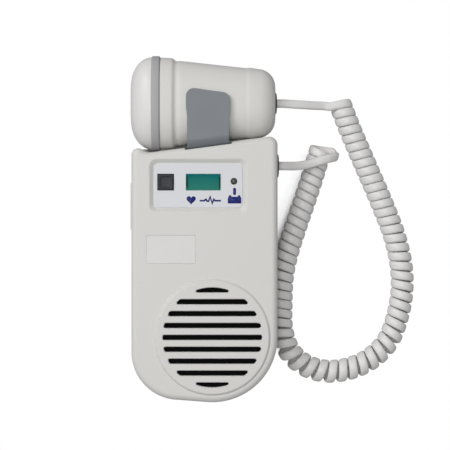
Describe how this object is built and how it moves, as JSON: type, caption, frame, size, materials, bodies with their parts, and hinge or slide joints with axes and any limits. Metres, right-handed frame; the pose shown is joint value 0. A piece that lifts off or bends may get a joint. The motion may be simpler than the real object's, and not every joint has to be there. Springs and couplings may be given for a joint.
{
  "type": "fetal doppler monitor",
  "caption": "Pocket fetal doppler with speaker grille, display and button, a hand probe held in a spring clip on top and a curly cord between them.",
  "frame": {"origin": "centre line of the main unit on its flat back face, where the unit rests", "axes": "+X to the unit's right, +Y along its length towards the probe, +Z out of its front face"},
  "size_m": [0.1466, 0.1762, 0.0358],
  "materials": {
    "housing_plastic": "moulded ABS, pale warm grey, fine matt texture",
    "clip_plastic": "moulded ABS, mid grey, satin",
    "black_plastic": "moulded nylon, black",
    "band_rubber": "soft grey elastomer, matt",
    "cord_jacket": "pale grey flexible PVC jacket, satin",
    "overlay_film": "printed polyester film",
    "lens": "clear acrylic window",
    "lcd": "reflective liquid crystal display, teal",
    "button_rubber": "dark grey silicone key",
    "lamp": "smoked lamp lens",
    "screen_cloth": "black dust cloth",
    "speaker_paper": "pulp cone",
    "steel": "zinc plated steel",
    "magnet": "ferrite magnet",
    "board": "glass-epoxy board, green mask",
    "battery_can": "printed steel battery case",
    "crystal": "piezoelectric ceramic",
    "backing": "loaded epoxy damping"
  },
  "bodies": {
    "main_unit": {"front_housing": "housing_plastic", "rear_housing": "housing_plastic", "panel_overlay": "overlay_film", "display_lens": "lens", "lcd_module": "lcd", "button_switch": "black_plastic", "status_led": "lamp", "grille_screen": "screen_cloth", "speaker_gasket": "black_plastic", "speaker_frame": "steel", "speaker_cone": "speaker_paper", "speaker_magnet": "magnet", "main_board": "board", "battery": "battery_can", "battery_snap": "black_plastic", "rocker_pin": "steel", "rocker_switches": "black_plastic", "probe_clip": "clip_plastic", "clip_screws": "steel", "housing_screws": "steel", "unit_cord_gland": "black_plastic", "cord_lead_probe": "cord_jacket", "cord_curl": "cord_jacket", "cord_lead_unit": "cord_jacket"},
    "probe": {"probe_front_shell": "housing_plastic", "probe_rear_shell": "housing_plastic", "probe_face_cap": "housing_plastic", "probe_seal_band": "band_rubber", "crystal_discs": "crystal", "crystal_backing": "backing", "probe_board": "board", "probe_screws": "steel", "probe_cord_gland": "black_plastic"},
    "button": {"mode_button": "button_rubber"},
    "rocker": {"volume_rocker": "housing_plastic"},
    "door": {"battery_door": "housing_plastic"}
  },
  "joints": [
    {"name": "probe_lift", "type": "slide", "parent": "main_unit", "child": "probe", "axis": [0, 1, 0], "range_m": [0, 0.045]},
    {"name": "mode_button_press", "type": "slide", "parent": "main_unit", "child": "button", "axis": [0, 0, -1], "range_m": [0, 0.0005], "stiffness_N_per_m": 800},
    {"name": "volume_rocker_tilt", "type": "hinge", "parent": "main_unit", "child": "rocker", "pos_m": [-0.0334, 0.0314, 0.021], "axis": [0, 0, 1], "range_deg": [-3, 3], "stiffness_Nm_per_rad": 0.05},
    {"name": "battery_door_slide", "type": "slide", "parent": "main_unit", "child": "door", "axis": [0, -1, 0], "range_m": [0, 0.064]}
  ]
}
